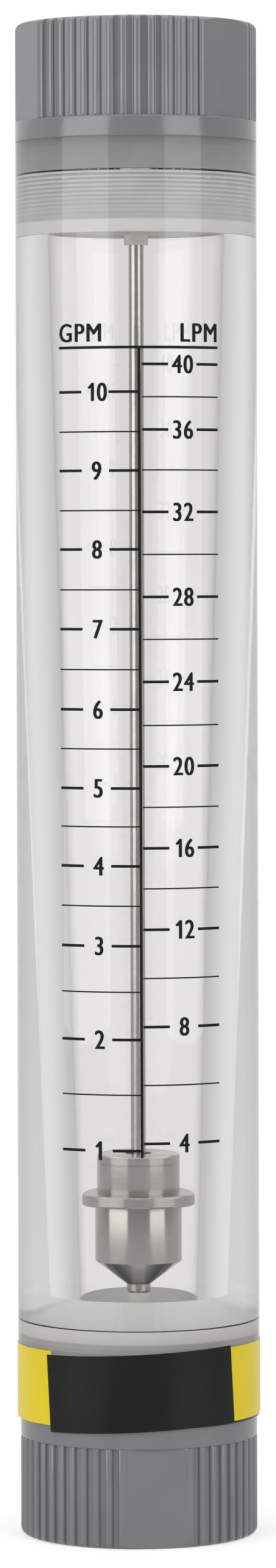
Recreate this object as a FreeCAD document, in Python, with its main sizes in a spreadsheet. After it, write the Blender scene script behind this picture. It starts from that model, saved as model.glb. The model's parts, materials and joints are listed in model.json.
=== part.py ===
"""Rotameter: a clear taper-bored metering tube between two ribbed pipe fittings, with a float on a guide rod.

Millimetres and degrees. +Z is up and is the way the fluid flows, and the face that is read looks along -Y.
The origin is the centre of the lower end face, on which the instrument stands.
"""

import FreeCAD, Part
import os

import Sketcher

# ---------------------------------------------------------------------------------------------------------------
# Driving dimensions
# ---------------------------------------------------------------------------------------------------------------

SIZES = {
    "Instrument": {
        "overall_length": 300,
        "tube_diameter": 48,
    },
    "Fittings": {
        "head_length": 23.5,
        "lower_head_step": 0.5,
        "collar_length": 4,
        "rim_round": 1.3,
        "port_diameter": 30.29,
        "port_depth": 19,
        "port_lead": 1,
        "flow_diameter": 26,
        "spigot_length": 16.2,
        "spigot_clearance": 0.2,
        "spigot_lead": 0.8,
    },
    "Ribs": {
        "flat_count": 3,
        "groove_count": 13,
        "rib_pitch_angle": 6.6,
        "flat_margin_angle": 4.95,
        "groove_depth": 0.85,
        "groove_radius": 0.7,
        "upper_flat_bearing": 50.9,
        "lower_flat_bearing": 8.8,
    },
    "Tube": {
        "socket_diameter": 40,
        "flare_diameter": 34.4,
        "flare_length": 5.2,
        "narrow_bore_diameter": 23.6,
        "wide_bore_diameter": 35.1,
    },
    "Holders": {
        "holder_thickness": 2.5,
        "holder_clearance": 0.2,
        "holder_rim_width": 2.4,
        "hub_wall": 0.85,
        "hub_above": 5.8,
        "hub_below": 2,
        "arm_count": 3,
        "arm_width": 2,
    },
    "Rod": {
        "rod_diameter": 3,
        "rod_chamfer": 0.3,
        "rod_fit": 0.05,
    },
    "Float": {
        "float_clearance": 0.1,
        "stop_gap": 0.3,
        "nose_wall": 0.8,
        "nose_length": 4.7,
        "skirt_length": 11,
        "skirt_step": 2.6,
        "disc_gap": 0.55,
        "disc_thickness": 2.6,
        "stem_step": 3,
        "stem_length": 8.9,
        "stem_chamfer": 0.4,
        "recess_width": 1,
        "recess_depth": 1,
    },
    "Label": {
        "label_thickness": 0.12,
        "label_fit": 0.02,
        "band_width": 14.6,
        "band_height": 30.6,
        "band_tilt": 0.8,
        "band_tuck": 2,
        "panel_width": 15.1,
        "panel_height": 30.2,
        "panel_tilt": 2.8,
        "panel_arc": 97,
        "panel_bearing": 0.8,
    },
}

# Formulas on the sheet that more than one sub-part uses
TUBE_RADIUS = "(sizes.tube_diameter / 2)"
TUBE_LENGTH = "(sizes.overall_length - 2 * sizes.head_length)"
SOCKET_RADIUS = "(sizes.socket_diameter / 2)"
SOCKET_DEPTH = "(sizes.spigot_length + sizes.holder_thickness)"
LOWER_LEDGE = f"(sizes.head_length + {SOCKET_DEPTH})"
UPPER_LEDGE = f"(sizes.overall_length - sizes.head_length - {SOCKET_DEPTH})"
ROD_RADIUS = "(sizes.rod_diameter / 2)"
ROD_START = f"({LOWER_LEDGE} - sizes.holder_thickness - sizes.hub_below)"
ROD_END = f"({UPPER_LEDGE} + sizes.holder_thickness + sizes.hub_above)"
FLOAT_START = f"({LOWER_LEDGE} + sizes.hub_above + sizes.stop_gap)"
FLOAT_LENGTH = "(sizes.nose_length + sizes.skirt_length + sizes.disc_thickness + sizes.stem_length)"
FLOAT_TRAVEL = f"({UPPER_LEDGE} - sizes.hub_below - sizes.stop_gap - {FLOAT_START} - {FLOAT_LENGTH})"
BAND_RADIUS = f"({TUBE_RADIUS} + sizes.label_fit)"

FULL_TURN = 360
HALF_TURN = 180
FRONT = -90  # the direction of the face that is read, from +X
BACK = 90

# The numbers by which a sketch's constraints name its origin, its two axes and a circle's centre
ORIGIN_INDEX = (-1, 1)
ACROSS_AXIS_INDEX = -1
UP_AXIS_INDEX = -2
CENTRE_INDEX = 3

doc = FreeCAD.newDocument("rotameter")
sizes = doc.addObject("Spreadsheet::Sheet", "sizes")


def fill_sheet():
    """Writes each group's heading and its sizes, and makes each size's name its alias."""
    row = 0
    for heading, group in SIZES.items():
        row += 1
        sizes.set(f"A{row}", heading)
        for name, number in group.items():
            row += 1
            sizes.set(f"A{row}", name)
            sizes.set(f"B{row}", str(number))
            sizes.setAlias(f"B{row}", name)
    doc.recompute()


def value(formula):
    """What a formula on the sheet comes to."""
    return float(sizes.evalExpression(formula))


# ---------------------------------------------------------------------------------------------------------------
# Bodies, sketches and features
# ---------------------------------------------------------------------------------------------------------------

def new_body(name, height="0"):
    """A body whose label is its node's name, with its own origin at this height."""
    body = doc.addObject("PartDesign::Body", name)
    body.Label = name
    body.setExpression("Placement.Base.z", height)
    return body


def origin_part(body, role):
    return next(item for item in body.Origin.OriginFeatures if item.Role == role)


def new_sketch(body, name, role="XY_Plane", height="0", turn="0"):
    """A sketch on an origin plane of the body, moved along the plane's normal and turned about it."""
    sketch = body.newObject("Sketcher::SketchObject", f"{body.Name}_{name}")
    sketch.AttachmentSupport = (origin_part(body, role), [""])
    sketch.MapMode = "FlatFace"
    sketch.setExpression("AttachmentOffset.Base.z", height)
    sketch.setExpression("AttachmentOffset.Rotation.Angle", f"({turn}) * 1 deg")
    return sketch


def pin(sketch, geometry, point, across, up):
    """Ties a point of the sketch to the formulas of its two coordinates."""
    for kind, axis, formula in (("DistanceX", UP_AXIS_INDEX, across), ("DistanceY", ACROSS_AXIS_INDEX, up)):
        if value(formula) == 0:
            sketch.addConstraint(Sketcher.Constraint("PointOnObject", geometry, point, axis))
        else:
            distance = Sketcher.Constraint(kind, *ORIGIN_INDEX, geometry, point, value(formula))
            index = sketch.addConstraint(distance)
            sketch.setExpression(f"Constraints[{index}]", formula)


def draw_outline(sketch, corners):
    """A closed outline of straight lines through corners that are pairs of formulas."""
    places = [FreeCAD.Vector(value(across), value(up)) for across, up in corners]
    count = len(corners)
    for index in range(count):
        sketch.addGeometry(Part.LineSegment(places[index], places[(index + 1) % count]))
    for index, (across, up) in enumerate(corners):
        sketch.addConstraint(Sketcher.Constraint("Coincident", (index - 1) % count, 2, index, 1))
        pin(sketch, index, 1, across, up)


def draw_circle(sketch, radius, across="0"):
    """A circle centred on the sketch's axis across, and at its origin unless a distance is given."""
    middle = FreeCAD.Vector(value(across), 0)
    index = sketch.addGeometry(Part.Circle(middle, FreeCAD.Vector(0, 0, 1), value(radius)))
    pin(sketch, index, CENTRE_INDEX, across, "0")
    size = sketch.addConstraint(Sketcher.Constraint("Radius", index, value(radius)))
    sketch.setExpression(f"Constraints[{size}]", radius)


def turned(body, name, corners):
    """Adds a form turned about the body's axis, from corners given as radius and height."""
    sketch = new_sketch(body, f"{name}_outline", "XZ_Plane")
    draw_outline(sketch, corners)
    feature = body.newObject("PartDesign::Revolution", f"{body.Name}_{name}")
    feature.Profile = sketch
    feature.ReferenceAxis = (sketch, ["V_Axis"])
    return feature


def raised(body, name, sketch, length):
    """Adds the sketch's form, upwards."""
    feature = body.newObject("PartDesign::Pad", f"{body.Name}_{name}")
    feature.Profile = sketch
    feature.setExpression("Length", length)
    return feature


def cut(body, name, sketch, length):
    """Removes the sketch's form, upwards."""
    feature = body.newObject("PartDesign::Pocket", f"{body.Name}_{name}")
    feature.Profile = sketch
    feature.Reversed = True
    feature.setExpression("Length", length)
    return feature


def turns(body, name, count, angle=str(FULL_TURN)):
    """The turns about the body's axis that a pattern of this many copies over this angle makes."""
    pattern = body.newObject("PartDesign::PolarPattern", f"{body.Name}_{name}")
    pattern.Axis = (origin_part(body, "Z_Axis"), [""])
    pattern.setExpression("Occurrences", count)
    pattern.setExpression("Angle", angle)
    return pattern


def repeated(body, name, feature, count):
    """Copies a feature evenly round the body's axis."""
    pattern = turns(body, name, count)
    pattern.Originals = [feature]
    body.Tip = pattern


def circle_edges(feature, radius, height):
    """The names of the feature's circular edges of this radius at this height."""
    found = []
    for index, edge in enumerate(feature.Shape.Edges, start=1):
        if not isinstance(edge.Curve, Part.Circle):
            continue
        near = abs(edge.Curve.Radius - radius) < Part.Precision.approximation()
        level = abs(edge.Curve.Center.z - height) < Part.Precision.approximation()
        if near and level:
            found.append(f"Edge{index}")
    return found


# ---------------------------------------------------------------------------------------------------------------
# Sub-parts
# ---------------------------------------------------------------------------------------------------------------

def make_tube():
    """The clear tube: a socket at each end, and between them the tapered bore that meters the flow."""
    tube = new_body("metering_tube", "sizes.head_length")
    narrow_end = f"({SOCKET_DEPTH} + sizes.flare_length)"
    upper_ledge = f"({TUBE_LENGTH} - {SOCKET_DEPTH})"
    turned(tube, "wall", (
        (SOCKET_RADIUS, "0"),
        (TUBE_RADIUS, "0"),
        (TUBE_RADIUS, TUBE_LENGTH),
        (SOCKET_RADIUS, TUBE_LENGTH),
        (SOCKET_RADIUS, upper_ledge),
        ("sizes.wide_bore_diameter / 2", upper_ledge),
        ("sizes.narrow_bore_diameter / 2", narrow_end),
        ("sizes.flare_diameter / 2", SOCKET_DEPTH),
        (SOCKET_RADIUS, SOCKET_DEPTH),
    ))
    return tube


def make_fitting(name, head_radius, flat_direction):
    """A pipe fitting that stands on its port, with a ribbed head below and the spigot on top."""
    fitting = new_body(name)
    port_radius = "sizes.port_diameter / 2"
    flow_radius = "sizes.flow_diameter / 2"
    spigot_radius = f"({SOCKET_RADIUS} - sizes.spigot_clearance)"
    end = "(sizes.head_length + sizes.spigot_length)"
    turned_form = turned(fitting, "form", (
        (f"{port_radius} + sizes.port_lead", "0"),
        (head_radius, "0"),
        (head_radius, "sizes.head_length"),
        (spigot_radius, "sizes.head_length"),
        (spigot_radius, f"{end} - sizes.spigot_lead"),
        (f"{spigot_radius} - sizes.spigot_lead", end),
        (flow_radius, end),
        (flow_radius, "sizes.port_depth"),
        (port_radius, "sizes.port_depth"),
        (port_radius, "sizes.port_lead"),
    ))
    doc.recompute()
    rim = fitting.newObject("PartDesign::Fillet", f"{name}_rim")
    rim.Base = (turned_form, circle_edges(turned_form, value(head_radius), 0))
    rim.setExpression("Radius", "sizes.rim_round")

    ribbed_length = "sizes.head_length - sizes.collar_length"
    spare = f"({FULL_TURN} / sizes.flat_count - (sizes.groove_count - 1) * sizes.rib_pitch_angle)"
    groove_direction = f"{flat_direction} + {spare} / 2"
    flat_half_angle = f"({spare} / 2 - sizes.flat_margin_angle)"

    flat_sketch = new_sketch(fitting, "flat_outline", turn=flat_direction)
    flat_edge = f"{head_radius} * cos({flat_half_angle})"
    draw_outline(flat_sketch, (
        (flat_edge, f"-{head_radius}"),
        (f"2 * {head_radius}", f"-{head_radius}"),
        (f"2 * {head_radius}", head_radius),
        (flat_edge, head_radius),
    ))
    flat = cut(fitting, "flat", flat_sketch, ribbed_length)
    repeated(fitting, "flats", flat, "sizes.flat_count")

    groove_sketch = new_sketch(fitting, "groove_outline", turn=groove_direction)
    draw_circle(groove_sketch, "sizes.groove_radius",
                f"{head_radius} - sizes.groove_depth + sizes.groove_radius")
    groove = cut(fitting, "groove", groove_sketch, ribbed_length)
    one_group = turns(fitting, "group", "sizes.groove_count",
                      "(sizes.groove_count - 1) * sizes.rib_pitch_angle")
    all_groups = turns(fitting, "groups", "sizes.flat_count")
    grooves = fitting.newObject("PartDesign::MultiTransform", f"{name}_grooves")
    grooves.Originals = [groove]
    grooves.Transformations = [one_group, all_groups]
    fitting.Tip = grooves
    return fitting


def make_lower_fitting():
    head_radius = f"({TUBE_RADIUS} - sizes.lower_head_step)"
    return make_fitting("lower_fitting", head_radius, f"({FRONT} + sizes.lower_flat_bearing)")


def make_upper_fitting():
    """The same fitting turned over, so that its directions run the other way."""
    fitting = make_fitting("upper_fitting", TUBE_RADIUS, f"(-({FRONT} + sizes.upper_flat_bearing))")
    fitting.Placement.Rotation = FreeCAD.Rotation(FreeCAD.Vector(1, 0, 0), HALF_TURN)
    fitting.setExpression("Placement.Base.z", "sizes.overall_length")
    return fitting


def make_holder(name, height):
    """A rod holder: its rim is held between the tube's ledge and the spigot, and its hub carries the rod."""
    holder = new_body(name, height)
    rim_radius = f"({SOCKET_RADIUS} - sizes.holder_clearance)"
    hole_radius = f"({ROD_RADIUS} + sizes.rod_fit)"
    hub_length = f"sizes.hub_below + sizes.holder_thickness + sizes.hub_above"

    hub_sketch = new_sketch(holder, "hub_outline", height="-sizes.hub_below")
    draw_circle(hub_sketch, f"{hole_radius} + sizes.hub_wall")
    raised(holder, "hub", hub_sketch, hub_length)

    arm_sketch = new_sketch(holder, "arm_outline", turn=str(BACK))
    arm_end = f"{rim_radius} - sizes.holder_rim_width / 2"
    draw_outline(arm_sketch, (
        ("0", "-sizes.arm_width / 2"),
        (arm_end, "-sizes.arm_width / 2"),
        (arm_end, "sizes.arm_width / 2"),
        ("0", "sizes.arm_width / 2"),
    ))
    arm = raised(holder, "arm", arm_sketch, "sizes.holder_thickness")
    repeated(holder, "arms", arm, "sizes.arm_count")

    rim_sketch = new_sketch(holder, "rim_outline")
    draw_circle(rim_sketch, rim_radius)
    draw_circle(rim_sketch, f"{rim_radius} - sizes.holder_rim_width")
    raised(holder, "rim", rim_sketch, "sizes.holder_thickness")

    hole_sketch = new_sketch(holder, "hole_outline", height="-sizes.hub_below")
    draw_circle(hole_sketch, hole_radius)
    holder.Tip = cut(holder, "hole", hole_sketch, hub_length)
    return holder


def make_rod():
    """The guide rod, which ends level with the ends of the two hubs."""
    rod = new_body("guide_rod", ROD_START)
    length = f"({ROD_END} - {ROD_START})"
    turned(rod, "form", (
        ("0", "0"),
        (f"{ROD_RADIUS} - sizes.rod_chamfer", "0"),
        (ROD_RADIUS, "sizes.rod_chamfer"),
        (ROD_RADIUS, f"{length} - sizes.rod_chamfer"),
        (f"{ROD_RADIUS} - sizes.rod_chamfer", length),
        ("0", length),
    ))
    return rod


def make_float():
    """The float: a cone nose, a skirt, the disc that the scale is read at, and a stem, bored for the rod."""
    plummet = new_body("float", FLOAT_START)
    bore = f"({ROD_RADIUS} + sizes.float_clearance)"
    disc = "(sizes.narrow_bore_diameter / 2 - sizes.disc_gap)"
    skirt = f"({disc} - sizes.skirt_step)"
    stem = f"({disc} - sizes.stem_step)"
    skirt_top = "(sizes.nose_length + sizes.skirt_length)"
    disc_top = f"({skirt_top} + sizes.disc_thickness)"
    turned(plummet, "form", (
        (bore, "0"),
        (f"{bore} + sizes.nose_wall", "0"),
        (skirt, "sizes.nose_length"),
        (skirt, skirt_top),
        (disc, skirt_top),
        (disc, disc_top),
        (stem, disc_top),
        (stem, f"{FLOAT_LENGTH} - sizes.stem_chamfer"),
        (f"{stem} - sizes.stem_chamfer", FLOAT_LENGTH),
        (f"{bore} + sizes.recess_width", FLOAT_LENGTH),
        (f"{bore} + sizes.recess_width", f"{FLOAT_LENGTH} - sizes.recess_depth"),
        (bore, f"{FLOAT_LENGTH} - sizes.recess_depth"),
    ))
    return plummet


def bound(kind, name, **formulas):
    """A Part object whose properties follow the sheet."""
    item = doc.addObject(f"Part::{kind}", name)
    for prop, formula in formulas.items():
        item.setExpression(prop.replace("_", "."), formula)
    return item


def wrap(name, radius, arc, start):
    """A sheet of the label's thickness, from the base up to the tube's top, over this arc from this direction."""
    height = f"sizes.head_length + {TUBE_LENGTH}"
    outer = bound("Cylinder", f"{name}_outside", Radius=f"{radius} + sizes.label_thickness",
                  Height=height, Angle=f"({arc}) * 1 deg", Placement_Rotation_Angle=f"({start}) * 1 deg")
    inner = bound("Cylinder", f"{name}_inside", Radius=radius, Height=height)
    sheet = doc.addObject("Part::Cut", f"{name}_sheet")
    sheet.Base = outer
    sheet.Tool = inner
    return sheet


def trim(name, sheet, cutter):
    """The sub-part that is left of a sheet inside a tilted form."""
    piece = doc.addObject("Part::Common", name)
    piece.Label = name
    piece.Base = sheet
    piece.Tool = cutter
    return piece


def tilt(item, angle):
    """Tilts a form so that it rises to the right of the face that is read."""
    item.Placement.Rotation = FreeCAD.Rotation(FreeCAD.Vector(0, -1, 0), value(angle))
    item.setExpression("Placement.Rotation.Angle", f"{angle} * 1 deg")


def make_band():
    """The band, from under one side edge of the panel round the back to under the other."""
    arc = f"{FULL_TURN} - sizes.panel_arc + 2 * sizes.band_tuck"
    start = f"{FRONT} + sizes.panel_bearing + sizes.panel_arc / 2 - sizes.band_tuck"
    sheet = wrap("band", BAND_RADIUS, arc, start)
    slab = bound("Cylinder", "band_slab", Radius="sizes.tube_diameter", Height="sizes.band_width",
                 Placement_Base_x="sizes.band_width / 2 * sin(sizes.band_tilt)",
                 Placement_Base_z="sizes.band_height - sizes.band_width / 2 * cos(sizes.band_tilt)")
    tilt(slab, "sizes.band_tilt")
    return trim("label_band", sheet, slab)


def make_panel():
    """The panel, a tilted rectangle wrapped on the tube's front over the two ends of the band."""
    radius = f"({BAND_RADIUS} + sizes.label_thickness)"
    chord = f"(2 * {radius} * sin(sizes.panel_arc / 2))"
    middle = f"{radius} * sin(sizes.panel_bearing)"
    lean_across = "sizes.panel_width / 2 * sin(sizes.panel_tilt)"
    rise = f"{chord} / 2 * sin(sizes.panel_tilt) + sizes.panel_width / 2 * cos(sizes.panel_tilt)"
    sheet = wrap("panel", radius, HALF_TURN, HALF_TURN)
    block = bound("Box", "panel_block", Length=chord, Width="sizes.tube_diameter",
                  Height="sizes.panel_width",
                  Placement_Base_x=f"{middle} - {chord} / 2 * cos(sizes.panel_tilt) + {lean_across}",
                  Placement_Base_y="-sizes.tube_diameter",
                  Placement_Base_z=f"sizes.panel_height - ({rise})")
    tilt(block, "sizes.panel_tilt")
    return trim("label_panel", sheet, block)


def make_parts():
    return (
        make_tube(),
        make_lower_fitting(),
        make_upper_fitting(),
        make_holder("lower_rod_holder", f"{LOWER_LEDGE} - sizes.holder_thickness"),
        make_holder("upper_rod_holder", UPPER_LEDGE),
        make_rod(),
        make_float(),
        make_band(),
        make_panel(),
    )


def check(parts):
    """Stops unless every object was worked out and every sub-part is one sound solid."""
    for item in doc.Objects:
        if {"Invalid", "Error"} & set(item.State):
            raise RuntimeError(f"{item.Label} failed: {item.State}")
    for part in parts:
        shape = part.Shape
        if shape.isNull() or not shape.isValid() or len(shape.Solids) != 1:
            raise RuntimeError(f"{part.Label} is not one sound solid")
        box = shape.BoundBox
        print(f"{part.Label}: {shape.Volume:.1f} mm3, {len(shape.Faces)} faces, "
              f"z {box.ZMin:.2f} to {box.ZMax:.2f}")


fill_sheet()
PARTS = make_parts()
doc.recompute()
check(PARTS)
print(f"float travel: {value(FLOAT_TRAVEL):.2f} mm")
os.makedirs("parts", exist_ok=True)
for part in PARTS:
    part.Shape.exportStep(f"parts/{part.Label}.step")
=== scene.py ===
"""Dresses a packed rotameter: a clear tube between two grey pipe fittings, and a steel float on its rod.

The sidebar's operators each make one piece, or one group of like pieces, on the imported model, and the last
makes the stage. Lengths are in metres. +Z is up the tube, and the face that is read looks along -Y.
"""

import json
import math

import bmesh
import bpy
from mathutils import Matrix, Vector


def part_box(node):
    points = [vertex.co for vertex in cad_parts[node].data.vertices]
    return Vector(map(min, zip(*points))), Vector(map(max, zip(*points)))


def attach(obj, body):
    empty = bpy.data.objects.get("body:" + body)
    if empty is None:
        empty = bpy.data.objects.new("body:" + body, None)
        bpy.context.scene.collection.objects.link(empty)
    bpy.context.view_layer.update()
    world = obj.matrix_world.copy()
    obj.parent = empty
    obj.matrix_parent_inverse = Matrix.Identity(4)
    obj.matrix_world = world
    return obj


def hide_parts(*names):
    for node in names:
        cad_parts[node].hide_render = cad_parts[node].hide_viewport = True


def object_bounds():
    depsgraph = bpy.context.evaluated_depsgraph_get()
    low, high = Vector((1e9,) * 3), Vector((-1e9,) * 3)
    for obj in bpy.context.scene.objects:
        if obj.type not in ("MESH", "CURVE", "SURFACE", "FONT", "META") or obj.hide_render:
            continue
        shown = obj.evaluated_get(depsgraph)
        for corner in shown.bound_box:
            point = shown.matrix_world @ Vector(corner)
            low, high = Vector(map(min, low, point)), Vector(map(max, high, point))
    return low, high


bl_info = {
    "name": "Rotameter",
    "version": (1, 0, 0),
    "blender": (4, 5, 0),
    "location": "View3D > Sidebar > Rotameter",
    "description": "Makes the pieces and finishes of a clear-tube flow meter on its packed model",
    "category": "Object",
}

MM = 0.001

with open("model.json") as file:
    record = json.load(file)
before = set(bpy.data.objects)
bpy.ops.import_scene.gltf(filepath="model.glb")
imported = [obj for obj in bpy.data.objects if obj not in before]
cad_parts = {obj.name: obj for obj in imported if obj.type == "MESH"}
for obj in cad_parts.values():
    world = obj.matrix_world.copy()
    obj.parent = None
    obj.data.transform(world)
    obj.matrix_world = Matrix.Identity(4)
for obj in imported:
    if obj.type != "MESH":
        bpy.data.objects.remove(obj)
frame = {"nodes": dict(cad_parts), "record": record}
CAD_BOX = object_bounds()
TUBE_LOW, TUBE_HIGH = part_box("metering_tube")
LOWER_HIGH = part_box("lower_fitting")[1]
FLOAT_LOW, FLOAT_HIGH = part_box("float")
PORT_RADIUS = next(m["dims"]["r_mm"] for m in frame["record"]["mounts"] if m["name"] == "inlet") * MM
TOTAL_HEIGHT = CAD_BOX[1].z
HEAD_LENGTH = TUBE_LOW.z
SPIGOT_END = LOWER_HIGH.z
FULL_TURN = 2 * math.pi


# --- What a user may change ---

def length(name, description, default):
    """A length in metres."""
    return bpy.props.FloatProperty(name=name, description=description, default=default, min=0.0,
                                   unit="LENGTH", precision=5)


def share(name, description, default):
    """A number from 0 to 1."""
    return bpy.props.FloatProperty(name=name, description=description, default=default, min=0.0, max=1.0,
                                   subtype="FACTOR")


def colour(name, description, default):
    """A colour without alpha."""
    return bpy.props.FloatVectorProperty(name=name, description=description, default=default, size=3, min=0.0,
                                         max=1.0, subtype="COLOR")


class RotameterSizes(bpy.types.PropertyGroup):
    """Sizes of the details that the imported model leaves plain"""

    tube_radius: length("Tube radius", "Outside radius of the clear tube", TUBE_HIGH.x)
    bond_radius: length("Bond radius", "Inside radius of the tube where it is bonded to a spigot", 19.6 * MM)
    groove_radius: length("Groove radius", "Inside radius of the tube at the thread's roots", 20.05 * MM)
    narrow_bore: length("Narrow bore", "Radius of the metering bore at its lower end", 11.8 * MM)
    wide_bore: length("Wide bore", "Radius of the metering bore at its upper end", 17.55 * MM)
    flare_radius: length("Flare radius", "Radius of the flare below the metering bore", 17.2 * MM)
    flare_length: length("Flare length", "Height of the flare below the metering bore", 5.2 * MM)
    socket_depth: length("Socket depth", "Depth of the tube's sockets", 18.7 * MM)
    joint_pitch: length("Joint pitch", "Pitch of the thread between tube and fitting", 0.84 * MM)
    joint_land: length("Joint land", "Plain length of each joint between head and thread", 5.9 * MM)
    head_step: length("Head step", "How much the lower head's radius is smaller than the tube's", 0.5 * MM)
    collar_length: length("Collar length", "Height of each fitting's plain collar", 4.0 * MM)
    rim_round: length("Rim round", "Radius of the round at each fitting's port end", 1.3 * MM)
    flat_depth: length("Flat depth", "How far each flat lies inside the head's radius", 0.87 * MM)
    groove_depth: length("Groove depth", "Depth of the grooves between the ribs", 0.85 * MM)
    spigot_radius: length("Spigot radius", "Outside radius of the spigots", 19.8 * MM)
    flow_radius: length("Flow radius", "Radius of the fittings' flow bore", 13.0 * MM)
    port_pitch: length("Port pitch", "Pitch of the pipe thread in the ports", 2.309 * MM)
    port_thread_depth: length("Port thread depth", "Depth of the pipe thread in the ports", 1.479 * MM)
    port_lead: length("Port lead", "Height of the chamfer at each port's mouth", 1.0 * MM)
    port_depth: length("Port depth", "Depth of the ports", 19.0 * MM)
    float_bore: length("Float bore", "Radius of the float's hole for the rod", 1.6 * MM)
    nose_radius: length("Nose radius", "Radius of the float's foot under its cone", 2.4 * MM)
    nose_foot: length("Nose foot", "Height of the float's foot under its cone", 1.4 * MM)
    nose_top: length("Nose top", "Height of the float's cone with its foot", 6.1 * MM)
    skirt_radius: length("Skirt radius", "Radius of the float below its disc", 8.65 * MM)
    skirt_top: length("Skirt top", "Height of the disc's underside in the float", 17.4 * MM)
    disc_thickness: length("Disc thickness", "Thickness of the disc that the scale is read at", 2.15 * MM)
    stem_radius: length("Stem radius", "Radius of the float above its disc", 8.25 * MM)
    float_chamfer: length("Float chamfer", "Chamfer of the disc's and the stem's edges", 0.25 * MM)
    label_rise: length("Label rise", "How far the label sits above its place in the packed model", 0.45 * MM)
    ink_thickness: length("Ink thickness", "Thickness of the printed ink", 0.02 * MM)
    figure_height: length("Figure height", "Height of the scale's numbers", 3.68 * MM)
    heading_height: length("Heading height", "Height of the two unit headings", 3.65 * MM)
    stroke_spread: length("Stroke spread", "How much the lettering is thickened to each side", 0.14 * MM)
    bold_line: length("Bold line", "Width of the marks beside numbers", 0.55 * MM)
    fine_line: length("Fine line", "Width of the marks between numbers", 0.28 * MM)


class RotameterFinish(bpy.types.PropertyGroup):
    """Colours and finishes"""

    acrylic_colour: colour("Acrylic", "Tint of the clear tube", (0.862, 0.856, 0.840))
    turned_colour: colour("Turned acrylic", "Tint of the tube where it is left as turned", (0.97, 0.97, 0.96))
    pvc_colour: colour("Fittings", "Colour of the two fittings", (0.190, 0.1935, 0.202))
    # Painted light: both spigot colours are paler than the fittings' own grey, standing in for the light that
    # the bonded clear wall brings onto the spigots
    bond_colour: colour("Bonded joint", "Colour of a spigot in the joint's plain part", (0.37, 0.376, 0.376))
    thread_colour: colour("Bonded thread", "Colour of a spigot in the joint's thread", (0.585, 0.585, 0.578))
    holder_colour: colour("Holders", "Colour of the rod holders", (0.80, 0.795, 0.775))
    steel_colour: colour("Steel", "Colour of the rod and the float", (0.60, 0.588, 0.568))
    ink_colour: colour("Ink", "Colour of the printed scale", (0.006, 0.006, 0.0065))
    band_colour: colour("Label band", "Colour of the label's band", (0.84, 0.655, 0.012))
    panel_colour: colour("Label panel", "Colour of the label's panel", (0.006, 0.006, 0.006))
    pvc_roughness: share("Fitting roughness", "Roughness of the moulded fittings", 0.16)
    steel_roughness: share("Steel roughness", "Roughness of the turned steel", 0.2)
    acrylic_roughness: share("Acrylic roughness", "Roughness of the polished tube", 0.012)


# --- Mesh helpers ---

SHARP_ANGLE = math.radians(32)
TUBE_STEPS = 192
THREAD_RUNOUT = 1.2 * MM
# Distances below which two places count as one, for merging corners and for telling surfaces apart
MERGE, CLOSE = 0.001 * MM, 0.01 * MM


def finished_piece(name, bm, material, body="housing"):
    """An object at the origin from a bmesh, shaded smooth between sharp edges, that rides on a body."""
    bmesh.ops.recalc_face_normals(bm, faces=bm.faces)
    for face in bm.faces:
        face.smooth = True
    for edge in bm.edges:
        if len(edge.link_faces) == 2 and edge.calc_face_angle(0) > SHARP_ANGLE:
            edge.smooth = False
    mesh = bpy.data.meshes.new(name)
    bm.to_mesh(mesh)
    bm.free()
    mesh.materials.append(material)
    piece = bpy.data.objects.new(name, mesh)
    bpy.context.scene.collection.objects.link(piece)
    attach(piece, body)
    return piece


def drawn_profile(bm, corners):
    """A closed outline in the XZ plane through corners given as radius and height."""
    points = [bm.verts.new((radius, 0, height)) for radius, height in corners]
    return points + [bm.edges.new((a, b)) for a, b in zip(points, points[1:] + points[:1])]


def spun(bm, outline, angle=FULL_TURN, steps=TUBE_STEPS):
    """Spins an outline about Z, and closes it after a full turn."""
    bmesh.ops.spin(bm, geom=outline, cent=(0, 0, 0), axis=(0, 0, 1), dvec=(0, 0, 0), angle=angle, steps=steps,
                   use_merge=angle == FULL_TURN, use_duplicate=False)


# Corners of one ring of each thread, as shares of its pitch and of its depth
PORT_RING = ((0.04, 0.0), (0.2, 0.5), (0.38, 1.0), (0.46, 1.0), (0.64, 0.5), (0.8, 0.0))
JOINT_RING = ((0.1, 0.0), (0.55, 1.0))
SHALLOW_RING = 0.6


def ring_thread(ring, crest, root, start, end, pitch, depth=lambda turn, turns: 1.0):
    """Radius and height of each corner of a thread of rings, from one height to another."""
    turns = int(abs(end - start) / pitch)
    step = math.copysign(pitch, end - start)
    corners = []
    for turn in range(turns):
        low = start + turn * step
        deep = (root - crest) * depth(turn, turns)
        corners += [(crest + share * deep, low + along * step) for along, share in ring]
    return corners


def joint_depth(turn, turns):
    """How deep a ring of the joint is: the first fully, and the others less and less."""
    return 1.0 if turn == 0 else SHALLOW_RING * (1 - turn / turns)


# --- Shader groups and materials ---

GREY = (0.5, 0.5, 0.5, 1.0)
# The kind of a group's input, by how many numbers it takes
KINDS = {4: "NodeSocketColor", 3: "NodeSocketVector", 1: "NodeSocketFloat"}
SURFACE = (("Colour", "NodeSocketColor"), ("Roughness", "NodeSocketFloat"), ("Normal", "NodeSocketVector"))


def new_group(name, outputs, **inputs):
    """An empty shader group with named outputs, and named inputs that are given by their defaults."""
    group = bpy.data.node_groups.new(name, "ShaderNodeTree")
    for label, default in inputs.items():
        kind = KINDS[len(default) if isinstance(default, tuple) else 1]
        socket = group.interface.new_socket(name=label.replace("_", " "), in_out="INPUT", socket_type=kind)
        socket.default_value = default
    for label, kind in outputs:
        group.interface.new_socket(name=label, in_out="OUTPUT", socket_type=kind)
    tree = Tree(group)
    return tree, tree.add("NodeGroupInput").outputs


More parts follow.
